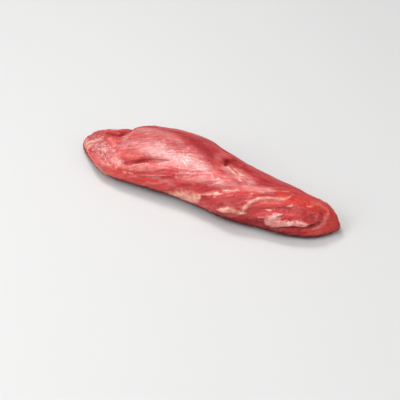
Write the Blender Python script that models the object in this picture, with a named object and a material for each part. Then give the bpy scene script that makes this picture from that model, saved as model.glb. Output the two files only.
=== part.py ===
"""Raw pork tenderloin: one long trimmed muscle lying on its flatter side.

Metres, +Z up. The broad end is at -X and the tucked-in end at +X. The side that
carries the fat faces -Y. The origin is on the ground, under the middle of the piece.

The body is a row of rounded sections skinned from end to end. Swellings and folds
are then pushed into its skin. A place on the skin is given as a distance from the
broad end and a clock angle: 0 is the near side (-Y), 90 the top and 180 the far side.
"""

from typing import NamedTuple

import bmesh
import bpy
import numpy as np
from mathutils import Vector
from mathutils.bvhtree import BVHTree

MM = 0.001

# Driving dimensions, in millimetres
LENGTH = 280.0
BROAD_END_ROUNDING = 12.0
TUCKED_END_ROUNDING = 22.0
HUB_HEIGHT = 12.0  # the height of the line that clock angles are counted about
FLATTENING = 1.5  # how far the underside would sink below the ground if it were round
RESTING_BAND = 7.0  # folds fade out below this height, so that the base stays flat

# Shape of a section
WIDEST_AT = 0.42  # the share of its height at which a section is widest
SIDE_POWER = 2.3
CROWN_POWER = 2.2
BASE_POWER = 3.2

# Shape of a fold, with the bank's place and width given in widths of the fold
BANK_PLACE = 1.7
BANK_WIDTH = 1.3
END_SHARE = 0.02  # the share of a path, at each end, that keeps the last of the fade
FADE_POWER = 0.5
SWELLING_DEPTH = 1.5  # how deep a swelling reaches through the flesh, in breadths of it

# Fineness of the mesh
RINGS = 104
EVEN_SHARE = 0.75  # how evenly the rings are spaced: below 1 they crowd at the tips
UPPER_COLUMNS = 42
LOWER_COLUMNS = 10
PATH_STEPS = 70

FLESH_COLOUR = (0.60, 0.13, 0.11, 1.0)
FLESH_ROUGHNESS = 0.32


class Section(NamedTuple):
    """A slice across the muscle, in millimetres."""

    along: float
    near: float
    far: float
    height: float


class Swelling(NamedTuple):
    """A soft hump on the skin, or a hollow where the rise is below zero."""

    along: float
    angle: float
    rise: float
    length: float
    breadth: float


class Fold(NamedTuple):
    """A ridge along a path of (along, angle) marks, or a groove where the rise is below zero.

    The bank is how far the skin stands up beside it, on the left of the path as
    seen from outside, or on the right where the bank is below zero.
    """

    path: tuple
    rise: float
    width: float
    bank: float = 0.0


SECTIONS = (
    Section(0, -1.0, 6.5, 15.0),
    Section(13, -10.5, 22.5, 21.0),
    Section(29, -23.0, 25.5, 27.0),
    Section(45, -32.5, 30.0, 33.0),
    Section(63, -36.0, 41.0, 38.0),
    Section(91, -36.0, 43.0, 42.0),
    Section(121, -35.5, 40.5, 43.0),
    Section(151, -38.5, 29.5, 42.0),
    Section(181, -42.5, 21.5, 39.0),
    Section(209, -39.0, 17.5, 36.0),
    Section(233, -37.0, 14.5, 34.0),
    Section(251, -31.0, 12.6, 31.0),
    Section(266, -21.5, 11.0, 26.0),
    Section(280, -6.0, 4.0, 18.0),
)

# The flap at the broad end, the two long heads of the muscle, and the end tucked under
SWELLINGS = (
    Swelling(26, 105, 2.5, 14, 12),
    Swelling(20, 60, -1.5, 12, 10),
    Swelling(84, 75, 1.5, 34, 16),
    Swelling(138, 112, 2.2, 26, 12),
    Swelling(110, 20, 1.2, 40, 9),
    Swelling(172, 22, 2.2, 20, 9),
    Swelling(226, 90, 1.0, 26, 10),
    Swelling(214, 38, 1.2, 16, 8),
    Swelling(255, 55, 1.6, 9, 14),
    Swelling(132, 8, -1.5, 13, 6),
    Swelling(90, 165, 1.5, 40, 10),
    Swelling(190, 165, 1.2, 36, 9),
)

# Grooves and ridges of the side that shows
FRONT_FOLDS = (
    Fold(((46, 150), (47, 125), (47, 104), (49, 84), (50, 62), (44, 46)), -3.2, 3.6, -0.9),
    Fold(((9, -8), (21, 8), (32, 6), (42, 6), (50, 7)), 1.6, 3.2),
    Fold(((60, 25), (72, 28), (80, 32), (90, 40), (101, 45), (113, 48)), -3.6, 2.7, 1.3),
    Fold(((80, 19), (93, 23), (105, 28), (116, 32), (130, 34)), -2.3, 2.3, 0.9),
    Fold(((70, 8), (87, 12), (100, 16), (113, 22), (127, 26)), -1.9, 2.3, 0.7),
    Fold(((173, 136), (169, 124), (164, 115), (161, 106), (161, 97), (164, 88)), -3.0, 2.8, 1.7),
    Fold(((164, 104), (174, 109)), -2.6, 3.4),
    Fold(((166, 92), (173, 84), (182, 73), (191, 69)), -2.0, 2.4),
    Fold(((148, 16), (158, 25), (166, 32), (175, 41), (186, 54), (197, 64), (210, 72)), -3.0, 2.5, 1.5),
    Fold(((169, 6), (180, 12), (189, 21), (196, 26), (201, 36), (208, 50), (219, 60)), 2.3, 2.4),
    Fold(((193, 8), (201, 17), (208, 26), (216, 36), (226, 44), (236, 48)), -2.6, 2.4, 0.8),
    Fold(((224, -8), (232, -2), (242, 5), (252, 6), (259, 9)), -2.2, 2.5, 1.2),
    Fold(((258, 9), (264, 15), (267, 24), (268, 38), (267, 58), (264, 80)), -3.0, 2.5, 1.0),
    Fold(((250, 58), (252, 76), (253, 96)), -1.2, 2.4),
)

# Long seams of the side that lies away
BACK_FOLDS = (
    Fold(((38, 158), (66, 150), (100, 153), (134, 158), (160, 152)), -1.9, 3.2, 0.8),
    Fold(((70, 182), (104, 176), (140, 181), (176, 174), (210, 178)), -1.7, 3.0, -0.7),
    Fold(((186, 132), (206, 140), (228, 137), (250, 146)), -1.8, 3.0, 0.7),
)


def read_between(at, marks, values):
    """Reads a smooth curve through the marks, with no overshoot between them."""
    marks = np.asarray(marks, float)
    values = np.asarray(values, float)
    step = np.diff(marks)
    rate = np.diff(values) / step
    slope = np.zeros_like(values)
    slope[0], slope[-1] = rate[0], rate[-1]
    same_way = rate[:-1] * rate[1:] > 0
    total = np.where(same_way, rate[:-1] + rate[1:], 1.0)
    slope[1:-1] = np.where(same_way, 2 * rate[:-1] * rate[1:] / total, 0.0)
    at = np.clip(at, marks[0], marks[-1])
    span = np.clip(np.searchsorted(marks, at, side="right") - 1, 0, len(step) - 1)
    t = (at - marks[span]) / step[span]
    return (
        values[span] * (1 + 2 * t) * (1 - t) ** 2
        + values[span + 1] * t**2 * (3 - 2 * t)
        + slope[span] * step[span] * t * (1 - t) ** 2
        - slope[span + 1] * step[span] * t**2 * (1 - t)
    )


def section_values(along, field):
    """One field of the sections, read at distances from the broad end."""
    marks = [section.along for section in SECTIONS]
    return read_between(along, marks, [getattr(section, field) for section in SECTIONS])


def hub_y(along):
    """The sideways place of the line that clock angles are counted about."""
    return (section_values(along, "near") + section_values(along, "far")) / 2


def end_rounding(along):
    """How full a section is: 1 along the body, falling as a quarter circle to 0 at each tip."""
    from_broad = np.clip(1 - along / BROAD_END_ROUNDING, 0, 1)
    from_tucked = np.clip(1 - (LENGTH - along) / TUCKED_END_ROUNDING, 0, 1)
    return np.sqrt(1 - from_broad**2) * np.sqrt(1 - from_tucked**2)


def rounded(value, power):
    """A sine or cosine bent into a fuller curve, keeping its sign."""
    return np.sign(value) * np.abs(value) ** (2 / power)


def section_rings():
    """The points of every section but the two tips, as rings of (along, y, z) in millimetres."""
    t = np.arange(1, RINGS) / RINGS
    along = LENGTH * (EVEN_SHARE * t + (1 - EVEN_SHARE) * (1 - np.cos(np.pi * t)) / 2)
    upper = np.linspace(0, np.pi, UPPER_COLUMNS, endpoint=False)
    lower = np.pi + np.pi * (1 - np.cos(np.linspace(0, np.pi, LOWER_COLUMNS, endpoint=False))) / 2
    turn = np.concatenate([upper, lower])[None, :]
    near = section_values(along, "near")[:, None]
    far = section_values(along, "far")[:, None]
    height = section_values(along, "height")[:, None]
    full = end_rounding(along)[:, None]
    widest = WIDEST_AT * height
    y = (near + far) / 2 - (far - near) / 2 * full * rounded(np.cos(turn), SIDE_POWER)
    crown = (height - widest) * rounded(np.sin(turn), CROWN_POWER)
    base = (widest + FLATTENING) * rounded(np.sin(turn), BASE_POWER)
    z = np.maximum(widest + full * np.where(turn < np.pi, crown, base), 0)
    x = np.repeat(along[:, None], turn.shape[1], axis=1)
    return np.stack([x, y, z], axis=-1)


def tip(along):
    """The point in which one end of the skin closes."""
    return (along, float(hub_y(along)), float(WIDEST_AT * section_values(along, "height")))


def skin_mesh():
    """The plain body: rings skinned with quads, and a fan of triangles at each tip."""
    body = bmesh.new()
    rings = [[body.verts.new(point) for point in ring] for ring in section_rings()]
    for ring, following in zip(rings, rings[1:]):
        for i in range(len(ring)):
            j = (i + 1) % len(ring)
            body.faces.new((ring[i], ring[j], following[j], following[i]))
    for ring, along in ((rings[0], 0.0), (rings[-1], LENGTH)):
        point = body.verts.new(tip(along))
        for i in range(len(ring)):
            body.faces.new((point, ring[i], ring[(i + 1) % len(ring)]))
    bmesh.ops.recalc_face_normals(body, faces=body.faces)
    body.normal_update()
    return body


def skin_mark(tree, along, angle):
    """The point of the plain skin, and its outward normal, at a clock angle."""
    hub = Vector((along, float(hub_y(along)), HUB_HEIGHT))
    turn = np.radians(angle)
    outward = Vector((0, -np.cos(turn), np.sin(turn)))
    point, normal, _, _ = tree.ray_cast(hub, outward)
    return np.array(point), np.array(normal)


def smooth_path(tree, marks):
    """Points and normals of the plain skin along a smooth line through (along, angle) marks."""
    marks = np.array(marks, float)
    at = np.linspace(0, len(marks) - 1, PATH_STEPS)
    along = read_between(at, range(len(marks)), marks[:, 0])
    angle = read_between(at, range(len(marks)), marks[:, 1])
    found = [skin_mark(tree, a, b) for a, b in zip(along, angle)]
    return np.array([point for point, _ in found]), np.array([normal for _, normal in found])


def fold_rise(points, tree, fold):
    """How far one fold lifts each point, fading out towards the fold's two ends."""
    path, normals = smooth_path(tree, fold.path)
    offset = points[:, None, :] - path[None, :, :]
    distance = np.linalg.norm(offset, axis=2)
    nearest = distance.argmin(axis=1)
    gap = distance[np.arange(len(points)), nearest]
    heading = np.gradient(path, axis=0)
    left = np.cross(normals, heading)[nearest]
    beside = offset[np.arange(len(points)), nearest]
    side = np.sign((left * beside).sum(axis=1)) * np.sign(fold.bank)
    share = nearest / (PATH_STEPS - 1)
    fade = np.sin(np.pi * np.clip(share, END_SHARE, 1 - END_SHARE)) ** FADE_POWER
    line = fold.rise * np.exp(-((gap / fold.width) ** 2))
    from_bank = (side * gap / fold.width - BANK_PLACE) / BANK_WIDTH
    bank = abs(fold.bank) * np.exp(-(from_bank**2))
    return fade * (line + bank)


def swelling_rise(points, tree, swelling):
    """How far one swelling lifts each point."""
    centre, normal = skin_mark(tree, swelling.along, swelling.angle)
    lengthwise = np.array([1.0, 0.0, 0.0])
    across = np.cross(normal, lengthwise)
    across /= np.linalg.norm(across)
    offset = points - centre
    along = offset[:, 0] / swelling.length
    beside = offset @ across / swelling.breadth
    under = offset @ normal / (SWELLING_DEPTH * swelling.breadth)
    return swelling.rise * np.exp(-(along**2 + beside**2 + under**2))


def push_relief(body):
    """Pushes the swellings and folds out of, or into, the plain skin."""
    tree = BVHTree.FromBMesh(body)
    points = np.array([vert.co for vert in body.verts])
    normals = np.array([vert.normal for vert in body.verts])
    rise = np.zeros(len(points))
    for swelling in SWELLINGS:
        rise += swelling_rise(points, tree, swelling)
    for fold in FRONT_FOLDS + BACK_FOLDS:
        rise += fold_rise(points, tree, fold)
    rise *= np.clip(points[:, 2] / RESTING_BAND, 0, 1)
    moved = points + normals * rise[:, None]
    moved[:, 2] = np.maximum(moved[:, 2], 0)
    for vert, place in zip(body.verts, moved):
        vert.co = place


def centre_on_ground(body):
    """Puts the origin on the ground under the middle of the piece, and turns millimetres into metres."""
    points = np.array([vert.co for vert in body.verts])
    low, high = points.min(axis=0), points.max(axis=0)
    middle = Vector(((low[0] + high[0]) / 2, (low[1] + high[1]) / 2, low[2]))
    for vert in body.verts:
        vert.co = (vert.co - middle) * MM


def flesh_material():
    """Moist raw pork."""
    material = bpy.data.materials.new("flesh")
    material.use_nodes = True
    shader = material.node_tree.nodes["Principled BSDF"]
    shader.inputs["Base Color"].default_value = FLESH_COLOUR
    shader.inputs["Roughness"].default_value = FLESH_ROUGHNESS
    shader.inputs["Metallic"].default_value = 0.0
    return material


def add_tenderloin():
    """The muscle, as one solid."""
    body = skin_mesh()
    push_relief(body)
    centre_on_ground(body)
    mesh = bpy.data.meshes.new("tenderloin")
    body.to_mesh(mesh)
    body.free()
    mesh.shade_smooth()
    mesh.materials.append(flesh_material())
    tenderloin = bpy.data.objects.new("tenderloin", mesh)
    bpy.context.scene.collection.objects.link(tenderloin)


def clear_scene():
    """Removes whatever the scene holds."""
    for leftover in list(bpy.data.objects):
        bpy.data.objects.remove(leftover)


clear_scene()
add_tenderloin()
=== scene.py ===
"""The looks of a raw pork tenderloin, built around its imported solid.

Lengths among the driving values are millimetres, and Blender and the frame use metres.
A mark is a place on the skin: a distance along the muscle from its broad end, and a
clock angle that is 0 on the near side (-Y), 90 on top and 180 on the far side.
"""

from __future__ import annotations

import logging
import math
from dataclasses import dataclass, field
from enum import Enum
from typing import NamedTuple

import bpy
import numpy as np
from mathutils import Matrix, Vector, noise
from mathutils.bvhtree import BVHTree


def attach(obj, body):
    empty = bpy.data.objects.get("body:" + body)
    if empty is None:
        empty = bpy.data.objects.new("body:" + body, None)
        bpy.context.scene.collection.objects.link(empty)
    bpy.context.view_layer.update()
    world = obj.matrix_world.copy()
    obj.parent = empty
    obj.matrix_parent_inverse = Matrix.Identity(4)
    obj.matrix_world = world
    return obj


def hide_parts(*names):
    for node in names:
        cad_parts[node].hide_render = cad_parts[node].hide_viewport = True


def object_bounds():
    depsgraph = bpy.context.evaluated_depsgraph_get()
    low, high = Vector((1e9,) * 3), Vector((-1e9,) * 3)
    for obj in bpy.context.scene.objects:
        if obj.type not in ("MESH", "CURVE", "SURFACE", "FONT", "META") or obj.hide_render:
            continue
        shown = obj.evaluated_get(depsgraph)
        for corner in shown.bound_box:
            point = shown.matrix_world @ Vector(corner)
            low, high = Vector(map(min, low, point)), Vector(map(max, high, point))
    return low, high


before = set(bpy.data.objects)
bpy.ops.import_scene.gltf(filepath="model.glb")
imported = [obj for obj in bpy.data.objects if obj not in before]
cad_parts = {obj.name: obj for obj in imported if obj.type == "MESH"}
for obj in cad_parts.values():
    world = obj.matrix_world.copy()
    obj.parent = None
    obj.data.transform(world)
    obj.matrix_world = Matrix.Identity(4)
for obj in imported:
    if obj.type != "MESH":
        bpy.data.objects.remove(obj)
CAD_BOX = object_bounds()

LOG = logging.getLogger("tenderloin")
MM = 0.001
GRAIN = "grain"
FAR = "far"
NOISE_MIDDLE = 0.5

Colour = tuple[float, float, float]
Line = tuple[tuple[float, float, float], ...]
Table = tuple[tuple[float, float], ...]
Socketable = "Value | float | int | tuple"

WHITE: Colour = (1.0, 1.0, 1.0)


class Band(NamedTuple):
    """The stretch over which something fades in. It may run downwards.

    Args:
        none: Where nothing of it shows yet.
        full: Where all of it shows.
    """

    none: float
    full: float


WHOLE = Band(0.0, 1.0)


def select_only(piece: bpy.types.Object) -> None:
    """Leaves one object selected and active.

    Args:
        piece: The object that the next operators work on.
    """
    bpy.ops.object.select_all(action="DESELECT")
    piece.select_set(True)
    bpy.context.view_layer.objects.active = piece


def smooth_step(value: np.ndarray, band: Band) -> np.ndarray:
    """Eases from 0 to 1 over a band.

    Args:
        value: The numbers to ease.
        band: Where they start and where they are full.

    Returns:
        The eased numbers, from 0 to 1.
    """
    share = np.clip((value - band.none) / (band.full - band.none), 0, 1)
    return share * share * (3 - 2 * share)


def noise_at(points: np.ndarray) -> np.ndarray:
    """Reads smooth noise, which has a swell about one unit across.

    Args:
        points: Rows of three coordinates.

    Returns:
        A number from about -0.7 to 0.7 for each row.
    """
    return np.array([noise.noise(point, noise_basis="PERLIN_NEW") for point in points.tolist()])


class Tissue(Enum):
    """What part of the skin is made of, or the painted shade and glints laid on it. Each has a mask of that
    name on the mesh.
    """

    CREASE = "crease_shade"
    FAT = "fat"
    SILVER = "silver"
    GLINT = "glint"
    VEIL_AND_SHEEN = "veil_and_sheen"
    SPECKLE = "speckle"
    MOTTLE = "mottle"
    PALE = "pale"
    DEEP_AND_SHADE = "deep_and_shade"
    BRIGHT = "bright"
    SHADED = "shaded"


class Brush(NamedTuple):
    """How a line is laid on the skin.

    Args:
        rise: How far it stands out of the skin, or sinks into it if below zero, in millimetres.
        strength: How much of the mask it fills.
        soft: How gradually it ends, as a share of its width.
        ragged: How uneven its edge is, as a share of its width.
        broken: How much it fades and returns along its length, from 0 to 1.
    """

    rise: float
    strength: float
    soft: float
    ragged: float
    broken: float


# Cuts and shades
DEEP_CUT = Brush(-1.4, 0.85, 0.8, 0.35, 0.2)
CUT = Brush(-0.9, 0.75, 0.8, 0.35, 0.35)
NICK = Brush(-0.5, 0.45, 0.9, 0.4, 0.35)
HAIRLINE = Brush(-0.25, 0.5, 0.9, 0.5, 0.4)
FURROW = Brush(-0.35, 0.8, 0.75, 0.3, 0.1)
GROOVE = Brush(-0.6, 0.7, 0.9, 0.4, 0.4)
HOLLOW = Brush(-0.9, 0.9, 0.9, 0.35, 0.2)
SHADE = Brush(-0.6, 0.62, 1.0, 0.4, 0.2)
FAINT_SHADE = Brush(0.0, 0.6, 1.0, 0.4, 0.3)

# What stands on the skin
PAD = Brush(0.8, 0.84, 0.55, 0.2, 0.1)
RIDGE = Brush(0.6, 0.8, 0.8, 0.5, 0.5)
FOLD = Brush(0.9, 0.6, 0.9, 0.3, 0.2)
SHRED = Brush(0.7, 0.85, 0.6, 0.7, 0.3)
SMEAR = Brush(0.3, 0.8, 0.8, 0.6, 0.4)
FAINT_SMEAR = Brush(0.2, 0.5, 0.9, 0.7, 0.5)
FLECK = Brush(0.1, 0.5, 1.2, 1.1, 0.0)
PATCH = Brush(0.25, 0.95, 0.35, 0.7, 0.2)

# Colour alone
BLOTCH = Brush(0.0, 1.0, 0.7, 0.4, 0.1)
WASH = Brush(0.0, 0.9, 1.2, 0.4, 0.3)
DUSK = Brush(0.0, 0.66, 1.2, 0.4, 0.3)
FAINT_WASH = Brush(0.0, 0.5, 1.2, 0.4, 0.4)
# Painted milky highlight over the whitish film
MILKY_FILM_AND_SHEEN = Brush(0.0, 0.4, 1.4, 0.5, 0.2)
THIN_WASH = Brush(0.0, 0.28, 1.4, 0.5, 0.2)


class Layer(NamedTuple):
    """Lines and patches that are laid with one brush.

    Args:
        brush: How they are laid down.
        lines: The middle of each, as (along, angle, half width) in millimetres and degrees.
    """

    brush: Brush
    lines: tuple[Line, ...]


# What is drawn on the skin, where each group runs from the broad end to the narrow one
STROKES: dict[Tissue, tuple[Layer, ...]] = {
    Tissue.FAT: (
        Layer(PAD, (
            ((118, -1, 1.2), (125, 2, 3.2), (132, 4, 4.6), (140, 7, 5.2), (146, 9, 4.8), (150, 14, 3.0),
             (152, 18, 1.4)),
        )),
        Layer(RIDGE, (
            ((198, 17, 1.4), (199, 22, 1.7), (201, 31, 1.7), (203, 38, 1.6), (206, 44, 1.3),
             (210, 51, 0.9)),
        )),
        Layer(SHRED, (
            ((163, 92, 0.5), (167, 91, 0.9), (171, 89, 0.8), (175, 86, 0.4)),
            ((164, 28, 0.7), (168, 31, 1.5), (171, 33, 1.3), (174, 36, 0.6)),
            ((171, 96, 0.5), (174, 95, 1.2), (176, 96, 0.6)),
            ((174, 10, 1.1), (179, 13, 2.5), (184, 17, 2.8), (189, 17, 2.3)),
            ((174, 41, 0.6), (178, 44, 1.2), (183, 49, 1.0), (187, 54, 0.7)),
            ((177, 93, 0.7), (180, 90, 1.3), (184, 91, 0.6)),
            ((193, 14, 1.2), (197, 15, 1.8), (200, 17, 1.3)),
        )),
        Layer(SMEAR, (
            ((4, 0, 1.4), (7, 14, 2.4), (11, 12, 2.6), (15, 11, 1.3)),
            ((12, 28, 0.9), (16, 39, 1.2), (20, 48, 1.1), (24, 65, 0.9), (27, 78, 0.5)),
            ((12, 20, 0.7), (19, 32, 0.7)),
            ((16, 6, 0.6), (22, 2, 0.8)),
            ((30, 32, 0.8), (37, 38, 1.1), (44, 41, 0.6)),
            ((33, -1, 1.0), (39, -3, 1.5), (45, -6, 1.5), (51, -10, 0.9)),
            ((148, 18, 0.4), (157, 23, 0.7), (163, 27, 0.8)),
            ((180, 12, 2.4), (189, 16, 2.6), (195, 16, 2.4)),
        )),
        Layer(FAINT_SMEAR, (
            ((49, 18, 1.0), (55, 16, 1.7)),
            ((52, 160, 0.6), (58, 164, 1.8), (66, 168, 2.2), (74, 170, 0.8)),
            ((54, 26, 1.4), (59, 23, 2.4), (62, 20, 2.0), (60, 16, 1.3)),
            ((84, 178, 0.5), (104, 174, 1.0), (128, 178, 1.4), (150, 179, 0.9), (176, 172, 0.6)),
            ((114, 0, 1.0), (122, 3, 2.2), (130, 7, 3.4), (138, 11, 4.0), (145, 14, 3.6)),
            ((178, 86, 0.8), (182, 83, 1.2), (187, 84, 0.6)),
            ((188, 150, 0.8), (197, 153, 2.4), (206, 157, 2.8), (216, 158, 1.2)),
            ((206, 74, 0.8), (218, 84, 0.8), (228, 96, 0.6)),
            ((208, 49, 1.2), (214, 56, 1.1), (220, 63, 1.0), (228, 69, 0.8)),
            ((220, 55, 0.7), (230, 69, 0.9), (233, 81, 0.9), (234, 95, 0.6)),
        )),
    ),
    Tissue.SILVER: (
        Layer(PATCH, (
            ((221, 17, 1.8), (225, 20, 3.2), (229, 23, 3.4), (233, 23, 2.2)),
            ((222, 8, 2.6), (227, 12, 4.4), (232, 15, 4.8), (237, 16, 4.4), (242, 17, 2.8), (247, 20, 2.2),
             (252, 21, 3.2), (255, 19, 3.0), (258, 18, 1.8)),
        )),
        Layer(SHRED, (
            ((213, 16, 0.6), (218, 18, 0.9), (223, 21, 0.8)),
            ((226, 24, 1.6), (230, 30, 1.5), (234, 35, 0.8)),
        )),
        Layer(SMEAR, (
            ((136, 42, 0.7), (142, 47, 1.3), (149, 55, 1.5), (156, 60, 0.8)),
        )),
        Layer(FAINT_SMEAR, (
            ((92, 150, 2.0), (112, 146, 4.0), (136, 150, 4.4), (152, 152, 2.2)),
            ((122, 33, 0.8), (130, 38, 1.0), (139, 44, 1.0)),
            ((124, 30, 1.5), (134, 35, 2.6), (144, 40, 3.0), (152, 47, 2.4)),
        )),
    ),
    # White flecks of film and painted glints, and a painted milky highlight on the crest
    Tissue.GLINT: (
        Layer(SMEAR, (
            ((77, 27, 0.6), (80, 28, 1.0), (83, 29, 0.6)),
            ((85, 31, 0.5), (87, 32, 0.7)),
            ((166, 31, 0.6), (169, 33, 1.0), (172, 35, 0.5)),
            ((176, 43, 0.4), (179, 46, 0.8), (182, 48, 0.4)),
            ((177, 13, 0.7), (180, 15, 1.3), (184, 18, 0.8)),
            ((195, 15, 0.6), (198, 17, 0.9)),
            ((223, 19, 0.6), (227, 24, 1.2), (231, 30, 0.7), (234, 35, 0.5)),
            ((236, 11, 0.5), (242, 13, 0.8), (245, 18, 0.5)),
        )),
        Layer(FAINT_SMEAR, (
            ((244, 26, 0.5), (250, 27, 0.9), (253, 26, 0.5)),
        )),
        Layer(FLECK, (
            ((69, 13, 0.4), (72, 13, 0.6)),
            ((75, 14, 0.4), (79, 14, 0.6)),
            ((77, 26, 0.5), (79, 26, 0.7)),
            ((82, 29, 0.6), (84, 30, 0.8)),
            ((89, 33, 0.5), (91, 33, 0.7)),
            ((163, 58, 0.5), (165, 56, 0.7)),
            ((167, 27, 0.4), (169, 28, 0.6)),
            ((182, 76, 0.5), (184, 77, 0.6)),
            ((198, 55, 0.4), (200, 56, 0.6)),
            ((210, 112, 0.4), (212, 113, 0.5)),
            ((220, 35, 0.4), (223, 37, 0.6)),
            ((227, 95, 0.4), (229, 97, 0.6)),
            ((236, 54, 0.6), (239, 60, 0.8)),
        )),
        Layer(MILKY_FILM_AND_SHEEN, (
            ((80, 52, 3.0), (88, 56, 5.5), (98, 57, 6.5), (108, 54, 5.5), (118, 52, 3.5)),
            ((118, 62, 3.0), (128, 60, 5.0), (138, 61, 4.5), (147, 64, 3.0)),
        )),
    ),
    # Whitish film, with painted sheen on the crest
    Tissue.VEIL_AND_SHEEN: (
        Layer(PATCH, (
            ((68, 9, 0.6), (72, 12, 1.0)),
            ((86, 14, 0.5), (92, 17, 1.0), (98, 20, 1.0), (104, 22, 0.9), (114, 27, 0.5)),
        )),
        Layer(SMEAR, (
            ((30, 18, 0.8), (38, 16, 1.2), (48, 14, 1.4), (58, 12, 1.2), (66, 12, 0.6)),
            ((74, 7, 0.8), (78, 9, 1.1), (84, 12, 0.8)),
            ((93, 8, 0.6), (102, 10, 1.1), (110, 15, 0.8)),
        )),
        Layer(FAINT_SMEAR, (
            ((44, 2, 0.7), (54, 1, 1.2), (64, 0, 0.9)),
        )),
        Layer(BLOTCH, (
            ((76, 19, 0.8), (82, 22, 1.3), (90, 25, 1.6), (98, 28, 1.5), (106, 33, 1.3), (113, 37, 1.0)),
        )),
        Layer(WASH, (
            ((50, 96, 3.0), (53, 84, 4.0), (54, 70, 4.5), (56, 56, 4.5)),
            ((54, 56, 6.0), (66, 60, 8.0), (80, 66, 9.0), (97, 62, 9.0), (112, 58, 8.0), (128, 58, 8.0),
             (144, 61, 6.0), (156, 64, 4.0)),
            ((58, 112, 5.0), (74, 110, 7.0), (90, 102, 7.0), (104, 92, 5.0)),
            ((90, 50, 4.0), (104, 50, 6.0), (118, 52, 6.0), (132, 56, 4.0)),
            ((146, 44, 3.0), (160, 48, 4.0), (172, 54, 4.6), (186, 62, 4.6), (200, 70, 4.0),
             (214, 78, 3.0)),
            ((162, 86, 3.0), (172, 86, 5.0), (184, 84, 5.0), (194, 80, 3.0)),
        )),
        Layer(FAINT_WASH, (
            ((26, 14, 2.0), (36, 12, 2.4), (46, 10, 2.4), (56, 8, 2.4)),
            ((60, 150, 4.0), (84, 152, 5.0), (110, 166, 4.0)),
            ((62, 100, 4.0), (80, 96, 5.0), (98, 88, 4.0)),
            ((96, 15, 1.4), (106, 18, 1.8), (124, 18, 1.4)),
            ((176, 160, 3.0), (200, 150, 4.0), (224, 156, 3.0)),
            ((260, -6, 1.6), (264, -10, 2.4), (267, -10, 1.4)),
        )),
    ),
    # Speckled film on the crest, partly painted glints and sheen
    Tissue.SPECKLE: (
        Layer(WASH, (
            ((92, 78, 4.0), (106, 72, 8.0), (118, 66, 10.0), (132, 62, 9.0), (146, 64, 5.0)),
        )),
    ),
    Tissue.MOTTLE: (
        Layer(BLOTCH, (
            ((5, 16, 3.0), (14, 32, 5.0), (28, 42, 6.5), (42, 36, 7.0), (54, 30, 5.5), (63, 25, 3.0)),
        )),
        Layer(FAINT_WASH, (
            ((16, 60, 5.0), (26, 70, 4.0)),
        )),
    ),
    Tissue.PALE: (
        Layer(FOLD, (
            ((262, 7, 1.4), (266, 14, 2.0), (268, 28, 2.4), (268, 44, 2.2), (269, 62, 1.8), (269, 80, 1.4),
             (267, 98, 1.0)),
        )),
        Layer(SMEAR, (
            ((147, 18, 1.0), (153, 22, 1.3), (160, 27, 1.5), (167, 33, 1.6), (174, 41, 1.9), (180, 47, 2.0),
             (184, 52, 1.8), (190, 60, 1.4), (194, 65, 1.8), (200, 70, 1.6), (208, 75, 1.0)),
            ((246, 58, 0.6), (250, 62, 0.9)),
            ((252, 70, 0.6), (255, 75, 1.0), (256, 82, 0.6)),
        )),
        Layer(FAINT_SMEAR, (
            ((60, 60, 0.6), (70, 68, 0.9), (84, 76, 0.9), (98, 78, 0.5)),
            ((62, 92, 0.6), (74, 96, 1.0), (88, 94, 0.8), (100, 88, 0.5)),
        )),
        Layer(WASH, (
            ((35, 72, 1.6), (40, 70, 2.6), (45, 63, 2.6), (47, 54, 1.6)),
            ((64, 20, 2.0), (70, 20, 2.6), (78, 24, 3.0), (88, 28, 2.8), (98, 33, 2.4), (108, 37, 1.6)),
            ((199, 24, 2.0), (202, 36, 2.6), (208, 47, 2.4), (218, 59, 2.0), (230, 70, 1.8)),
        )),
        Layer(FAINT_WASH, (
            ((54, 30, 3.0), (62, 34, 4.0), (72, 42, 4.0), (82, 50, 4.0), (92, 56, 3.0)),
            ((150, 56, 3.0), (158, 60, 4.0), (166, 65, 4.0), (175, 70, 3.0)),
            ((156, 122, 1.6), (153, 112, 3.0), (151, 102, 3.6), (153, 92, 3.0)),
            ((168, 98, 2.0), (176, 98, 3.0), (186, 92, 3.0)),
            ((206, 40, 2.0), (216, 50, 2.4), (228, 58, 2.0)),
            ((253, 94, 2.0), (258, 96, 2.6), (265, 98, 2.0)),
        )),
        Layer(THIN_WASH, (
            ((24, 2, 2.0), (36, 0, 3.0), (50, -3, 3.0), (66, -5, 2.6)),
        )),
    ),
    Tissue.BRIGHT: (
        Layer(SMEAR, (
            ((239, -6, 1.0), (241, -6, 1.2)),
        )),
        Layer(BLOTCH, (
            ((13, 6, 1.6), (20, 7, 2.2), (28, 7, 2.8), (38, 4, 3.0), (47, 1, 2.6)),
        )),
        Layer(WASH, (
            ((33, 76, 2.4), (40, 74, 3.8), (45, 66, 4.0), (46, 54, 3.0), (46, 47, 1.6)),
            ((44, 3, 2.4), (52, 2, 3.4), (60, 0, 3.6), (70, -1, 3.4), (84, -2, 2.6)),
            ((50, 8, 2.0), (58, 8, 3.2), (68, 9, 3.4), (78, 8, 2.4)),
            ((86, 8, 1.2), (92, 10, 2.0), (98, 12, 2.2), (106, 14, 1.2)),
            ((224, 78, 3.0), (236, 70, 5.0), (246, 84, 7.0), (258, 90, 7.0), (266, 92, 5.0)),
            ((256, -12, 1.6), (260, -7, 2.6), (264, -11, 3.0), (267, -12, 2.0)),
            ((271, -10, 4.0), (273, 6, 5.0), (275, 40, 5.0), (275, 80, 5.0), (271, 110, 4.0)),
        )),
        Layer(FAINT_WASH, (
            ((176, 54, 2.0), (190, 50, 3.0), (204, 60, 3.0)),
            ((236, 78, 5.0), (246, 74, 6.0), (256, 84, 5.0)),
        )),
    ),
    # Dark smooth flesh, with painted shade on the far head, in the hollows, furrows and pocket, and under the
    # near side
    Tissue.DEEP_AND_SHADE: (
        Layer(BLOTCH, (
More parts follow.
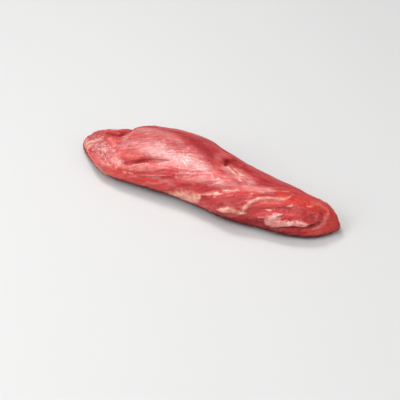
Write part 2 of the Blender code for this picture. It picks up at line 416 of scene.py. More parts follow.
            ((118, 103, 3.0), (128, 99, 5.0), (138, 96, 5.5), (148, 94, 4.0), (156, 92, 2.0)),
        )),
        Layer(WASH, (
            ((112, 110, 7.0), (134, 100, 8.0), (150, 96, 7.0)),
            ((160, 108, 2.2), (164, 115, 3.2), (169, 121, 3.2), (176, 122, 2.2)),
            ((174, -4, 2.0), (186, -4, 2.6), (198, -2, 3.4), (208, 1, 4.4), (218, 0, 4.4), (225, -4, 3.0)),
            ((234, 46, 3.0), (240, 54, 4.4), (246, 60, 5.0), (253, 46, 5.4), (260, 40, 3.4)),
        )),
        Layer(DUSK, (
            ((154, 14, 4.0), (164, 19, 4.6), (174, 26, 5.0), (184, 32, 4.4), (194, 38, 3.0)),
        )),
        Layer(FAINT_WASH, (
            ((8, 60, 1.6), (17, 76, 2.2), (25, 92, 2.0)),
            ((28, 57, 1.4), (34, 48, 1.4)),
            ((66, 130, 5.0), (88, 121, 6.0), (108, 112, 7.0)),
            ((84, 18, 1.2), (92, 21, 1.8), (101, 25, 2.0), (110, 31, 1.8), (118, 35, 1.0)),
            ((112, 24, 2.0), (120, 25, 3.4), (128, 27, 3.4), (136, 30, 2.4)),
            ((112, 20, 4.0), (128, 24, 5.0), (146, 32, 4.0), (162, 42, 3.0)),
        )),
        Layer(THIN_WASH, (
            ((165, 125, 5.0), (184, 114, 6.0), (206, 108, 6.0), (226, 112, 7.0)),
            ((222, 84, 6.0), (236, 88, 8.0), (250, 92, 8.0), (262, 100, 7.0), (272, 110, 5.0)),
        )),
        Layer(HOLLOW, (
            ((26, 98, 1.4), (32, 95, 2.6), (39, 92, 3.2), (44, 96, 2.8), (46, 110, 1.8), (46, 126, 1.0)),
        )),
        Layer(FURROW, (
            ((63, 24, 0.8), (67, 25, 1.5), (72, 26, 1.9), (78, 30, 2.0), (84, 35, 1.8), (91, 39, 1.5),
             (99, 43, 1.0), (110, 48, 0.5)),
        )),
        Layer(GROOVE, (
            ((47, 150, 0.8), (48, 132, 1.2), (47, 116, 1.0)),
            ((150, 15, 1.2), (158, 21, 1.9), (164, 26, 1.8), (170, 32, 1.4), (176, 38, 0.9),
             (184, 46, 0.6)),
            ((152, 14, 1.0), (158, 18, 1.6), (164, 22, 1.2)),
            ((249, 80, 0.8), (250, 72, 1.1), (251, 62, 0.7)),
            ((258, 13, 2.0), (263, 19, 2.2), (265, 28, 1.4), (265, 45, 1.0), (264, 66, 0.8)),
        )),
        Layer(SHADE, (
            ((198, 8, 1.0), (204, 18, 2.0), (211, 26, 2.4), (220, 34, 2.2), (230, 42, 1.8), (240, 50, 1.0)),
            ((224, 36, 0.7), (230, 39, 1.1), (235, 44, 0.6)),
            ((237, 1, 1.2), (243, 2, 2.0), (249, 3, 2.0), (253, -2, 1.8), (257, -6, 1.4)),
            ((239, 25, 1.0), (243, 25, 1.4), (247, 26, 0.8)),
        )),
    ),
    # Dark lines of cuts and hairlines, and painted shade in creases, pockets and under the near side
    Tissue.CREASE: (
        Layer(SHADE, (
            ((172, -4, 1.6), (184, -2, 2.4), (196, 1, 3.4), (205, 4, 4.6), (214, 3, 4.4), (222, -1, 3.0)),
            ((234, -5, 1.8), (242, -8, 2.6), (250, -10, 1.8)),
        )),
        Layer(FAINT_SHADE, (
            ((34, 95, 1.0), (39, 92, 1.6), (44, 96, 1.6), (46, 108, 0.8)),
            ((60, -13, 1.2), (90, -14, 2.2), (130, -14, 3.0), (170, -12, 3.4), (205, -11, 3.6),
             (240, -14, 3.0), (262, -14, 1.6)),
            ((164, 108, 1.8), (170, 111, 1.8), (175, 112, 1.0)),
            ((171, 17, 1.2), (184, 23, 1.4), (195, 29, 1.5), (200, 35, 1.0)),
            ((176, -5, 1.2), (184, -5, 2.0), (192, -5, 2.2)),
            ((198, -5, 1.6), (208, -5, 2.6), (216, -5, 2.8), (223, -9, 2.0)),
        )),
        Layer(DEEP_CUT, (
            ((166, 126, 0.9), (163, 118, 1.4), (160, 112, 1.7), (160, 104, 2.0), (162, 95, 1.5)),
        )),
        Layer(CUT, (
            ((66, 24, 0.4), (72, 25, 0.7), (77, 28, 0.8), (82, 33, 0.6), (88, 38, 0.5), (96, 43, 0.5),
             (104, 46, 0.5), (112, 49, 0.3)),
            ((256, 11, 1.0), (260, 13, 1.7), (263, 17, 1.4), (265, 24, 0.7)),
        )),
        Layer(NICK, (
            ((84, 17, 0.5), (92, 21, 0.8), (100, 24, 0.9), (108, 27, 0.9), (114, 30, 0.5)),
            ((96, 164, 0.6), (118, 160, 1.0), (142, 164, 1.0), (160, 160, 0.6)),
            ((162, 120, 0.6), (167, 127, 0.8), (172, 130, 0.5)),
            ((166, 106, 0.5), (171, 109, 0.7), (177, 108, 0.4)),
            ((204, 34, 0.6), (212, 46, 0.8), (220, 56, 0.8), (230, 63, 0.6)),
            ((212, 32, 0.5), (221, 39, 0.9), (230, 45, 0.9), (239, 52, 0.6)),
            ((250, 6, 0.8), (252, -9, 1.0)),
        )),
        Layer(HAIRLINE, (
            ((13, 50, 0.6), (21, 67, 0.6)),
            ((17, 24, 0.5), (23, 31, 0.7), (28, 38, 0.6), (30, 45, 0.4)),
            ((24, 26, 0.6), (29, 22, 0.6)),
            ((32, 73, 0.6), (38, 56, 0.6)),
            ((33, 28, 0.5), (39, 32, 0.7), (45, 29, 0.5)),
            ((41, 79, 0.7), (46, 59, 0.6)),
            ((41, 28, 0.5), (44, 21, 0.6)),
            ((42, 57, 0.5), (47, 45, 0.5)),
            ((47, 66, 0.9), (50, 63, 0.9)),
            ((47, 27, 0.5), (51, 20, 0.6)),
            ((59, 43, 0.3), (64, 51, 0.5), (72, 57, 0.3)),
            ((60, 36, 0.4), (67, 41, 0.6), (74, 46, 0.4)),
            ((60, 71, 0.3), (71, 80, 0.5), (82, 90, 0.3)),
            ((60, 100, 0.4), (72, 107, 0.6), (86, 106, 0.4)),
            ((62, 30, 0.4), (72, 36, 0.6)),
            ((63, 45, 0.4), (72, 50, 0.6), (82, 57, 0.4)),
            ((64, 37, 0.3), (72, 44, 0.5), (83, 52, 0.5), (92, 61, 0.3)),
            ((68, 6, 0.4), (78, 6, 0.7), (90, 7, 0.6), (98, 6, 0.4)),
            ((117, 38, 0.3), (121, 40, 0.5), (129, 42, 0.6), (137, 47, 0.6), (146, 54, 0.3)),
            ((148, 82, 0.5), (152, 77, 0.8), (156, 71, 0.5)),
            ((154, 18, 0.6), (160, 23, 0.9), (166, 28, 0.6)),
            ((161, 77, 0.5), (166, 73, 0.5)),
            ((166, 96, 0.7), (171, 92, 0.9), (177, 88, 0.6)),
            ((170, 140, 0.5), (192, 138, 0.8), (214, 142, 0.6)),
            ((262, 62, 0.4), (260, 50, 0.8), (256, 42, 0.5)),
        )),
    ),
}


class Lump(NamedTuple):
    """A small rounded swelling of the flesh, in millimetres and degrees."""

    along: float
    angle: float
    radius: float
    rise: float


LUMPS: tuple[Lump, ...] = (
    Lump(78, 25, 2.6, 0.9),
    Lump(84, 28.5, 2.8, 1.1),
    Lump(90, 32, 2.4, 0.9),
    Lump(73, 22, 2.6, 0.6),
    Lump(183, 15, 2.2, 0.6),
    Lump(190, 17, 2.2, 0.6),
    Lump(250, -4, 2.6, 0.7),
    Lump(256, -5, 2.4, 0.7),
    Lump(246, 62, 4.0, 0.5),
    Lump(130, 5, 3.0, 0.4),
    Lump(141, 9, 3.0, 0.5),
)

# The middle of the muscle, seen from above, as (along, y)
SPINE: Table = (
    (0, 2.9), (13, 6.2), (29, 1.4), (45, -1.1), (63, 2.7), (91, 3.7), (121, 2.7), (151, -4.3), (181, -10.3),
    (209, -10.6), (233, -11.1), (251, -9.0), (266, -5.1), (280, -0.8),
)

# Where the far head of the muscle begins, as (along, angle)
FAR_HEAD: Table = (
    (0, 130), (60, 122), (88, 108), (111, 88), (134, 84), (151, 86), (163, 92), (206, 92), (228, 100),
    (245, 122), (280, 140),
)

# How steeply the fibres of the near side climb, as (along, degrees for each millimetre)
CLIMB: Table = (
    (0, 0.5), (50, 0.8), (90, 0.78), (130, 0.7), (160, 0.95), (200, 1.1), (230, 0.9), (255, 0.3), (280, 0.1),
)


def read_table(table: Table, along: np.ndarray | float) -> np.ndarray:
    """Reads straight between the (along, value) marks of a table."""
    places, values = np.array(table).T
    return np.interp(along, places, values)


class FibreRelief(NamedTuple):
    """Ridges along the fibres: how long, broad and high they are, in millimetres."""

    length: float
    breadth: float
    rise: float


class Swell(NamedTuple):
    """Soft lumps all over the skin.

    Args:
        size: How far apart they are, in millimetres.
        rise: How high they stand, in millimetres.
        sink: How far they are lowered, as a share of the rise.
        shift: Which part of the noise they are read from.
    """

    size: float
    rise: float
    sink: float = 0.0
    shift: float = 0.0

    def at(self, points: np.ndarray) -> np.ndarray:
        """Reads how high they stand at rows of points."""
        return self.rise * (noise_at(points / self.size + self.shift) - self.sink)


@dataclass(frozen=True)
class ShadedFoot:
    """The dark strip where the skin turns under and nears the ground.

    Args:
        turned_under: The upward part of the normal at which it starts and is full.
        turned_wobble: How unevenly it starts there.
        low_down: The heights at which nearness to the ground starts and is full.
        low_share: How dark nearness alone makes it.
        foot: The clock angles at which the foot of the near side starts and is full.
        foot_wobble: How unevenly the foot starts, in degrees.
        foot_share: How dark the foot is.
        foot_stop: Where along the muscle the foot fades in, counted from the narrow end.
        light_end: Where along the muscle the broad end starts and is full.
        light_end_share: How much lighter the strip is there.
        light_far_share: How much lighter it is on the far head.
    """

    turned_under: Band = Band(-0.16, -0.5)
    turned_wobble: float = 0.12
    low_down: Band = Band(2.6, 0.8)
    low_share: float = 0.75
    foot: Band = Band(-2.5, -9.0)
    foot_wobble: float = 3.0
    foot_share: float = 0.9
    foot_stop: Band = Band(250.0, 236.0)
    light_end: Band = Band(66.0, 44.0)
    light_end_share: float = 0.3
    light_far_share: float = 0.4

    def mask(self, skin: Skin) -> np.ndarray:
        """Measures how dark each point is.

        Args:
            skin: The skin, with its points read.

        Returns:
            A number from 0 to 1 for each point.
        """
        turned = smooth_step(skin.normals[:, 2] + self.turned_wobble * skin.wobble, self.turned_under)
        low = self.low_share * smooth_step(skin.points[:, 2] + skin.wobble, self.low_down)
        foot = smooth_step(skin.angle + self.foot_wobble * skin.wobble, self.foot)
        foot = self.foot_share * foot * smooth_step(skin.along, self.foot_stop)
        end = 1 - self.light_end_share * smooth_step(skin.along, self.light_end)
        far = 1 - self.light_far_share * smooth_step(skin.far, WHOLE)
        return np.maximum.reduce([turned, low, foot]) * end * far


@dataclass
class Skin:
    """The outer surface of the muscle: its mesh, its relief and its masks.

    Args:
        node: The CAD node that it stands for.
        name: The name of the finished piece.
        hub_height: The height of the line that clock angles are counted about.
        half_length: From the origin to the broad end.
        subdivisions: How often each face of the solid is split.
        merge_distance: How close two points of the solid are when they are one.
        path_pace: The distance between the points that a line is read at.
        path_margin: How far beyond a line's own reach its points are looked for.
        fibre_radius: The radius that turns clock angles into widths of fibre.
        resting: The heights between which relief fades in, so that the base stays flat.
        far_band: How far past the start of the far head it fades in, in degrees.
        wobbles: What makes the edge of a line uneven.
        patch_size: The length of the stretches in which a line is broken.
        breaks: The noise over which a line breaks.
        unevenness: How uneven the top of a raised line is.
        fibres: The ridges along the fibres.
        fibres_lost: How much of them is lost where the deep mask lies.
        undulation: The slow rise and fall of the flesh.
        crumples: The creased flesh of the ends.
        broad_crumpled: Where along the muscle the crumples of the broad end fade in.
        tucked_crumpled: Where those of the tucked end fade in.
        tucked_share: How strong those are.
        pimples: The small lumps of fat and film.
        pimples_least: How much of them stands on bare flesh.
        pimples_on_fat: How much of them stands on fat.
        shaded: The dark strip at the foot.
        masks: How much of each tissue there is at each point.
    """

    node: str = "tenderloin"
    name: str = "tenderloin_flesh"
    hub_height: float = 12.0
    half_length: float = 140.0
    subdivisions: int = 2
    merge_distance: float = 0.002
    path_pace: float = 0.35
    path_margin: float = 1.0
    fibre_radius: float = 26.0
    resting: Band = Band(0.0, 4.0)
    far_band: Band = Band(-7.0, 9.0)
    wobbles: tuple[Swell, ...] = (Swell(2.4, 1.0), Swell(0.9, 0.5))
    patch_size: float = 5.0
    breaks: Band = Band(0.15, -0.25)
    unevenness: float = 0.5
    fibres: tuple[FibreRelief, ...] = (FibreRelief(22.0, 3.3, 0.34), FibreRelief(12.0, 1.7, 0.17))
    fibres_lost: float = 0.7
    undulation: Swell = Swell(17.0, 0.55, sink=0.3)
    crumples: tuple[Swell, ...] = (Swell(5.5, 0.8, 0.2, shift=5.5), Swell(2.8, 0.4, 0.2, shift=2.8))
    broad_crumpled: Band = Band(70.0, 46.0)
    tucked_crumpled: Band = Band(222.0, 242.0)
    tucked_share: float = 0.6
    pimples: Swell = Swell(2.3, 0.14)
    pimples_least: float = 0.4
    pimples_on_fat: float = 2.0
    shaded: ShadedFoot = ShadedFoot()
    masks: dict[Tissue, np.ndarray] = field(default_factory=dict)

    def build(self) -> bpy.types.Object:
        """Makes the finished mesh, with its masks and fibre coordinates.

        Returns:
            The piece, with no material yet.
        """
        self.piece = self._copy_solid()
        self._weld()
        self.tree = BVHTree.FromObject(self.piece, bpy.context.evaluated_depsgraph_get())
        self._refine()
        self._read_points()
        relief = self._draw_strokes() + self._raise_lumps() + self._raise_fibres() + self._raise_swells()
        self._push(relief)
        self._store()
        return self.piece

    def _copy_solid(self) -> bpy.types.Object:
        """Copies the solid's mesh into a new object.

        Returns:
            The copy, which has no material.
        """
        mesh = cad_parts[self.node].data.copy()
        mesh.name = self.name
        mesh.materials.clear()
        piece = bpy.data.objects.new(self.name, mesh)
        bpy.context.scene.collection.objects.link(piece)
        return piece

    def _weld(self) -> None:
        """Joins the loose triangles of the copy and pairs them into four-sided faces."""
        select_only(self.piece)
        bpy.ops.mesh.customdata_custom_splitnormals_clear()
        bpy.ops.object.mode_set(mode="EDIT")
        bpy.ops.mesh.select_all(action="SELECT")
        bpy.ops.mesh.remove_doubles(threshold=self.merge_distance * MM)
        bpy.ops.mesh.tris_convert_to_quads(face_threshold=math.pi, shape_threshold=math.pi)
        bpy.ops.object.mode_set(mode="OBJECT")
        bpy.ops.object.shade_smooth()

    def _refine(self) -> None:
        """Splits the faces, so that the mesh can carry fine relief."""
        select_only(self.piece)
        smooth = self.piece.modifiers.new("smooth", "SUBSURF")
        smooth.levels = self.subdivisions
        smooth.render_levels = self.subdivisions
        bpy.ops.object.modifier_apply(modifier=smooth.name)

    def _read_points(self) -> None:
        """Reads the mesh in millimetres and finds each point's place along and around the muscle."""
        mesh = self.piece.data
        count = len(mesh.vertices)
        flat = np.zeros(count * 3, np.float32)
        mesh.vertices.foreach_get("co", flat)
        self.points = flat.reshape(-1, 3).astype(float) / MM
        mesh.vertex_normals.foreach_get("vector", flat)
        self.normals = flat.reshape(-1, 3).astype(float)
        self.along = self.points[:, 0] + self.half_length
        beside = self.points[:, 1] - read_table(SPINE, self.along)
        angle = np.degrees(np.arctan2(self.points[:, 2] - self.hub_height, -beside))
        self.angle = np.where(angle < -90, angle + 360, angle)
        self.far = smooth_step(self.angle - read_table(FAR_HEAD, self.along), self.far_band)
        self.wobble = sum(swell.at(self.points) for swell in self.wobbles)
        self.patches = noise_at(self.points / self.patch_size)
        self.masks = {tissue: np.zeros(count) for tissue in Tissue}
        self.masks[Tissue.SHADED] = self.shaded.mask(self)

    def _on_skin(self, along: float, angle: float) -> np.ndarray:
        """Finds the point of the skin at a mark.

        Args:
            along: The distance from the broad end.
            angle: The clock angle in degrees.

        Returns:
            The point, in millimetres.
        """
        hub = Vector((along - self.half_length, float(read_table(SPINE, along)), self.hub_height)) * MM
        turn = math.radians(angle)
        point, _, _, _ = self.tree.ray_cast(hub, Vector((0, -math.cos(turn), math.sin(turn))))
        return np.array(point) / MM

    def _draw_strokes(self) -> np.ndarray:
        """Draws every line and patch into its tissue's mask.

        Returns:
            How far they lift each point.
        """
        lift = np.zeros(len(self.points))
        for tissue, layers in STROKES.items():
            mask = self.masks[tissue]
            for brush, lines in layers:
                for line in lines:
                    near, cover, profile = self._draw(line, brush)
                    mask[near] = np.maximum(mask[near], brush.strength * cover)
                    lift[near] += brush.rise * profile
        return lift

    def _draw(self, line: Line, brush: Brush) -> tuple[np.ndarray, np.ndarray, np.ndarray]:
        """Measures one line on the skin.

        Args:
            line: The marks of its middle.
            brush: How it is laid down.

        Returns:
            The points within its reach, how much each is covered, and how far each is raised by a rise of 1.
        """
        marks = np.array(line, float)
        stretch = np.hypot(np.diff(marks[:, 0]), np.radians(np.diff(marks[:, 1])) * self.fibre_radius).sum()
        at = np.linspace(0, len(marks) - 1, int(stretch / self.path_pace))
        along, angle, width = (np.interp(at, range(len(marks)), marks[:, i]) for i in range(3))
        path = np.array([self._on_skin(a, b) for a, b in zip(along, angle)])
        reach = width.max() * (1 + brush.soft + brush.ragged) + self.path_margin
        low = path.min(axis=0) - reach
        high = path.max(axis=0) + reach
        near = np.flatnonzero(((self.points > low) & (self.points < high)).all(axis=1))
        gap = np.linalg.norm(self.points[near, None, :] - path[None, :, :], axis=2)
        nearest = (gap / width).argmin(axis=1)
        ratio = gap[np.arange(len(near)), nearest] / width[nearest]
        uneven = ratio + brush.ragged * self.wobble[near]
        whole = 1 - brush.broken * smooth_step(self.patches[near], self.breaks)
        cover = smooth_step(uneven, Band(1 + brush.soft, 1 - brush.soft)) * whole
        if brush.rise < 0:
            return near, cover, np.exp(-(ratio**2)) * whole
        return near, cover, cover * (1 + self.unevenness * self.wobble[near])

    def _raise_lumps(self) -> np.ndarray:
        """Measures the small swellings.

        Returns:
            How far they lift each point.
        """
        lift = np.zeros(len(self.points))
        for lump in LUMPS:
            gap = np.linalg.norm(self.points - self._on_skin(lump.along, lump.angle), axis=1)
            lift += lump.rise * np.exp(-((gap / lump.radius) ** 2))
        return lift

    def _raise_fibres(self) -> np.ndarray:
        """Works out the lie of the fibres, and their relief.

        Returns:
            How far the fibres lift each point.
        """
        places = np.arange(2 * self.half_length + 1)
        climbed = np.concatenate([[0], np.cumsum(read_table(CLIMB, places[1:]))])
        across = np.radians(self.angle - np.interp(self.along, places, climbed)) * self.fibre_radius
        self.grain = np.stack([self.along, across, np.zeros_like(across)], axis=1)
        lift = np.zeros(len(self.points))
        for length, breadth, rise in self.fibres:
            near = noise_at(self.grain / (length, breadth, 1) + (0, 0, length))
            far = noise_at(self.points / (length, breadth, breadth))
            ridges = near * (1 - self.far) + far * self.far
            lift += rise * ridges * (1 - self.fibres_lost * self.masks[Tissue.DEEP_AND_SHADE])
        return lift

    def _raise_swells(self) -> np.ndarray:
        """Measures the undulation, the crumpled ends and the pimples.

        Returns:
            How far they lift each point.
        """
        lift = self.undulation.at(self.points)
        ends = smooth_step(self.along, self.broad_crumpled)
        ends += self.tucked_share * smooth_step(self.along, self.tucked_crumpled)
        for crumple in self.crumples:
            lift += ends * crumple.at(self.points)
        masks = self.masks
        bumpy = masks[Tissue.SPECKLE] + masks[Tissue.MOTTLE] + self.pimples_on_fat * masks[Tissue.FAT]
        return lift + self.pimples.at(self.points) * (self.pimples_least + bumpy)

    def _push(self, lift: np.ndarray) -> None:
        """Moves each point along its normal, inside the solid's box and above the ground.

        Args:
            lift: How far each point goes out.
        """
        lift = lift * smooth_step(self.points[:, 2], self.resting)
        moved = self.points + self.normals * lift[:, None]
        low, high = (np.array(corner) / MM for corner in CAD_BOX)
        moved = np.clip(moved, low, high)
        self.piece.data.vertices.foreach_set("co", (moved * MM).astype(np.float32).ravel())
        self.piece.data.update()

    def _store(self) -> None:
        """Keeps the masks and the fibre coordinates on the mesh, for the material to read."""
        attributes = self.piece.data.attributes
        shares = {tissue.value: mask for tissue, mask in self.masks.items()}
        shares[FAR] = self.far
        for name, share in shares.items():
            layer = attributes.new(name, "FLOAT", "POINT")
            layer.data.foreach_set("value", share.astype(np.float32))
        layer = attributes.new(GRAIN, "FLOAT_VECTOR", "POINT")
        layer.data.foreach_set("vector", (self.grain * MM).astype(np.float32).ravel())


class Value:
    """A socket of a node tree that can stand in a Python sum."""

    def __init__(self, graph: Graph, socket: bpy.types.NodeSocket) -> None:
        """Wraps one output socket."""
        self.graph = graph
        self.socket = socket

    def _sum(self, operation: str, left: Socketable, right: Socketable) -> Value:
        """Adds the Math node of one operation."""
        return self.graph.add("ShaderNodeMath", {"operation": operation}, {0: left, 1: right})

    def __add__(self, other: Socketable) -> Value:
        """Adds."""
        return self._sum("ADD", self, other)

    def __radd__(self, other: Socketable) -> Value:
        """Adds, from the right."""
        return self._sum("ADD", other, self)

    def __sub__(self, other: Socketable) -> Value:
        """Subtracts."""
        return self._sum("SUBTRACT", self, other)

    def __rsub__(self, other: Socketable) -> Value:
        """Subtracts, from the right."""
        return self._sum("SUBTRACT", other, self)

    def __mul__(self, other: Socketable) -> Value:
        """Multiplies."""
        return self._sum("MULTIPLY", self, other)

    def __rmul__(self, other: Socketable) -> Value:
        """Multiplies, from the right."""
        return self._sum("MULTIPLY", other, self)

    def __abs__(self) -> Value:
        """Drops the sign."""
        return self._sum("ABSOLUTE", self, 0.0)

    def step(self, band: Band, start: float = 0.0, end: float = 1.0) -> Value:
        """Eases from one number to another over a band.

        Args:
            band: Where the easing starts and ends.
            start: The result before the band.
            end: The result after it.

        Returns:
            The eased value.
        """
        limits = {"Value": self, "From Min": band.none, "From Max": band.full, "To Min": start, "To Max": end}
        return self.graph.add("ShaderNodeMapRange", {"interpolation_type": "SMOOTHSTEP"}, limits)

    def at_least(self, least: float) -> Value:
        """Squeezes a share of 0 to 1 between a least value and 1."""
        return least + (1 - least) * self


class Pattern(NamedTuple):
    """A noise in the flesh.

    Args:
        length: The size of its swells along the fibres, or along the muscle, in millimetres.
        breadth: Their size across, in millimetres.
        detail: How many finer layers it has.
        roughness: How strong the finer layers are.
    """

    length: float
    breadth: float
    detail: float = 2.0
    roughness: float = 0.5


class Graph:
    """The nodes of a material or of the sky."""

    def __init__(self, owner: bpy.types.Material | bpy.types.World) -> None:
        """Turns on the owner's nodes."""
        owner.use_nodes = True
        self.tree = owner.node_tree

    @staticmethod
    def _find(sockets: bpy.types.bpy_prop_collection, key: int | str) -> bpy.types.NodeSocket:
        """Finds a socket.

        Args:
            sockets: The inputs or outputs of a node.
            key: Its number, identifier or name.

        Returns:
            The socket.
        """
        if isinstance(key, int):
            return sockets[key]
        return next(socket for socket in sockets if key in (socket.identifier, socket.name))

    def put(self, node: bpy.types.Node, inputs: dict[int | str, Socketable]) -> None:
        """Sets or links the inputs of a node.

        Args:
            node: The node.
            inputs: A value or a link for each socket named.
        """
        for key, value in inputs.items():
            socket = self._find(node.inputs, key)
            if isinstance(value, Value):
                self.tree.links.new(value.socket, socket)
            else:
                socket.default_value = value

    def add(self, kind: str, settings: dict[str, object], inputs: dict[int | str, Socketable],
            output: int | str = 0) -> Value:
        """Adds a node of any type.

        Args:
            kind: The node's type.
            settings: Its own settings, which are set before its sockets.
            inputs: A value or a link for each socket named.
            output: Which output the result is read from.

        Returns:
            The output that was asked for.
        """
        node = self.tree.nodes.new(kind)
        for key, value in settings.items():
            setattr(node, key, value)
        self.put(node, inputs)
        return Value(self, self._find(node.outputs, output))

    def attribute(self, name: str, output: str = "Fac") -> Value:
        """Reads what the mesh keeps under a name."""
        return self.add("ShaderNodeAttribute", {"attribute_name": name}, {}, output)

    @staticmethod
    def opaque(colour: Colour) -> tuple[float, float, float, float]:
        """Gives a colour its alpha."""
        return (*colour, 1.0)

    def blend(self, share: Socketable, under: Socketable, over: Socketable) -> Value:
        """Lays one colour over another.

        Args:
            share: How much of the upper colour shows.
            under: The lower colour.
            over: The upper colour.

        Returns:
            The mixed colour.
        """
        under, over = (c if isinstance(c, Value) else self.opaque(c) for c in (under, over))
        inputs = {"Factor_Float": share, "A_Color": under, "B_Color": over}
        return self.add("ShaderNodeMix", {"data_type": "RGBA"}, inputs, "Result_Color")

    def noise(self, place: Value, pattern: Pattern) -> Value:
        """Reads a noise, which is about 0.5 on average.

        Args:
            place: The coordinates.
            pattern: The noise.

        Returns:
            The noise.
        """
        sizes = (pattern.length, pattern.breadth, pattern.breadth)
        scale = tuple(1 / (size * MM) for size in sizes)
        scaled = self.add("ShaderNodeVectorMath", {"operation": "MULTIPLY"}, {0: place, 1: scale})
        inputs = {"Vector": scaled, "Scale": 1.0, "Detail": pattern.detail, "Roughness": pattern.roughness}
        return self.add("ShaderNodeTexNoise", {"noise_dimensions": "3D"}, inputs, "Fac")


@dataclass(frozen=True)
class FleshColours:
    """The colours of the skin.

    Args:
        red: The flesh.
        dark: The flesh between two bundles of fibres.
        light: The crest of a bundle.
        thread: The fine pale threads along the fibres.
        veil_and_sheen: The whitish film over part of the skin, and the painted sheen where it lies on the
            crest.
        pale: The pale crest of a fold.
        deep_and_shade: The dark smooth flesh, and painted shade on the far head, in hollows, furrows and the
            pocket, and under the near side.
        bright: The fresh orange-red flesh.
        silver: Silverskin.
        silver_pale: Silverskin where it is thick.
        glint: Small white flecks of film, and painted glints and a painted milky highlight on the crest.
        fat: Fat.
        fat_pink: Fat where flesh shines through.
        crease_shade: Painted shade at the bottom of creases, pockets and folds and under the near side, and
            the dark lines of cuts.
        shaded: The strip where the skin turns under.
        mottle: The fatty blotches of the broad end.
        vein: The thin dark lines between them.
    """

    red: Colour = (0.615, 0.053, 0.051)
    dark: Colour = (0.395, 0.014, 0.017)
    light: Colour = (0.735, 0.155, 0.146)
    thread: Colour = (0.820, 0.400, 0.370)
    veil_and_sheen: Colour = (0.720, 0.370, 0.360)
    pale: Colour = (0.780, 0.230, 0.200)
    deep_and_shade: Colour = (0.270, 0.010, 0.016)
    bright: Colour = (0.700, 0.058, 0.038)
    silver: Colour = (0.680, 0.330, 0.285)
    silver_pale: Colour = (0.880, 0.500, 0.430)
    glint: Colour = (0.950, 0.700, 0.650)
    fat: Colour = (0.880, 0.520, 0.400)
    fat_pink: Colour = (0.760, 0.270, 0.190)
    crease_shade: Colour = (0.180, 0.005, 0.008)
    shaded: Colour = (0.085, 0.004, 0.005)
    mottle: Colour = (0.860, 0.520, 0.450)
    vein: Colour = (0.480, 0.055, 0.075)


@dataclass(frozen=True)
class FleshPatterns:
    """The noises of the skin, and how sharply the thin lines among them end."""

    bundle: Pattern = Pattern(46.0, 8.0)
    streak: Pattern = Pattern(14.0, 2.3, detail=3.0)
    fine: Pattern = Pattern(8.0, 1.4)
    thread: Pattern = Pattern(24.0, 3.0, detail=1.0)
    thread_sharpness: float = 16.0
    furrow: Pattern = Pattern(17.0, 2.4)
    furrow_sharpness: float = 17.0
    patch: Pattern = Pattern(11.0, 11.0, detail=3.0)
    mottle: Pattern = Pattern(3.4, 2.4, roughness=0.6)
    speck: Pattern = Pattern(2.1, 1.6)
    vein: Pattern = Pattern(6.0, 3.4)
    vein_sharpness: float = 14.0
    blotch: Pattern = Pattern(6.5, 4.6, roughness=0.6)
    curd: Pattern = Pattern(4.2, 3.0)
    wet: Pattern = Pattern(5.0, 3.0)


@dataclass(frozen=True)
class FleshBands:
    """The part of a noise over which each pattern shows."""

    bundle: Band = Band(0.36, 0.60)
    light: Band = Band(0.46, 0.70)
    no_dark: Band = Band(0.28, 0.44)
    furrow_patch: Band = Band(0.60, 0.40)
    deep_patch: Band = Band(0.35, 0.6)
    fine: Band = Band(0.5, 0.68)
    thread_patch: Band = Band(0.42, 0.6)
    film: Band = Band(0.40, 0.60)
    speckle_patch: Band = Band(0.40, 0.58)
    curdled: Band = Band(0.46, 0.58)
    no_pit: Band = Band(0.40, 0.48)
    blotch: Band = Band(0.48, 0.57)
    bright: Band = Band(0.60, 0.42)
    streak: Band = Band(0.36, 0.56)
    silver: Band = Band(0.44, 0.58)
    fat: Band = Band(0.38, 0.56)
    sparkle: Band = Band(0.58, 0.66)
    wet: Band = Band(0.42, 0.62)


@dataclass(frozen=True)
class FleshShares:
    """How much each colour covers where it shows. A least share is the cover between its streaks."""

    calm_in_deep: float = 0.75
    calm_in_bright: float = 0.45
    light: float = 0.55
    dark: float = 0.55
    furrow: float = 0.65
    deep_least: float = 0.84
    fine: float = 0.18
    thread: float = 0.10
    thread_in_veil: float = 0.50
    veil_and_sheen: float = 0.34
    veil_film: float = 0.50
    speckle_veil: float = 0.24
    curdled: float = 0.80
    pit: float = 0.85
    mottle_veil: float = 0.42
    blotch: float = 0.85
    vein_in_mottle: float = 0.85
    vein_in_speckle: float = 0.5
    furrow_in_veil: float = 0.5
    furrow_in_speckle: float = 0.3
    bright_least: float = 0.5
    pale_least: float = 0.6
    silver_least: float = 0.62
    silver_pale: float = 0.8
    silver_furrow: float = 0.45
    fat: float = 0.92
    glint: float = 0.85
    crease_shade: float = 0.9
    shaded: float = 0.9
    unshaded_fat: float = 0.8


@dataclass(frozen=True)
class FleshMixes:
    """How much of each noise goes into a pattern.

    Args:
        film: Of mottle, speck and streak.
        curdled: Of mottle and speck.
        pit: Of mottle and speck.
        fat: Of curd and speck.
    """

    film: tuple[float, ...] = (0.3, 0.1, 0.6)
    curdled: tuple[float, ...] = (0.7, 0.3)
    pit: tuple[float, ...] = (0.5, 0.5)
    fat: tuple[float, ...] = (0.85, 0.15)


@dataclass(frozen=True)
class FleshRelief:
    """How far each noise stands out in the bump, beside the bump's strength and its height in millimetres."""

    streak: float = 0.40
    furrow: float = -0.35
    fine: float = 0.25
    speck: float = 0.30
    mottle: float = 0.5
    blotch: float = 0.9
    vein: float = -0.5
    strength: float = 0.85
    height: float = 0.45


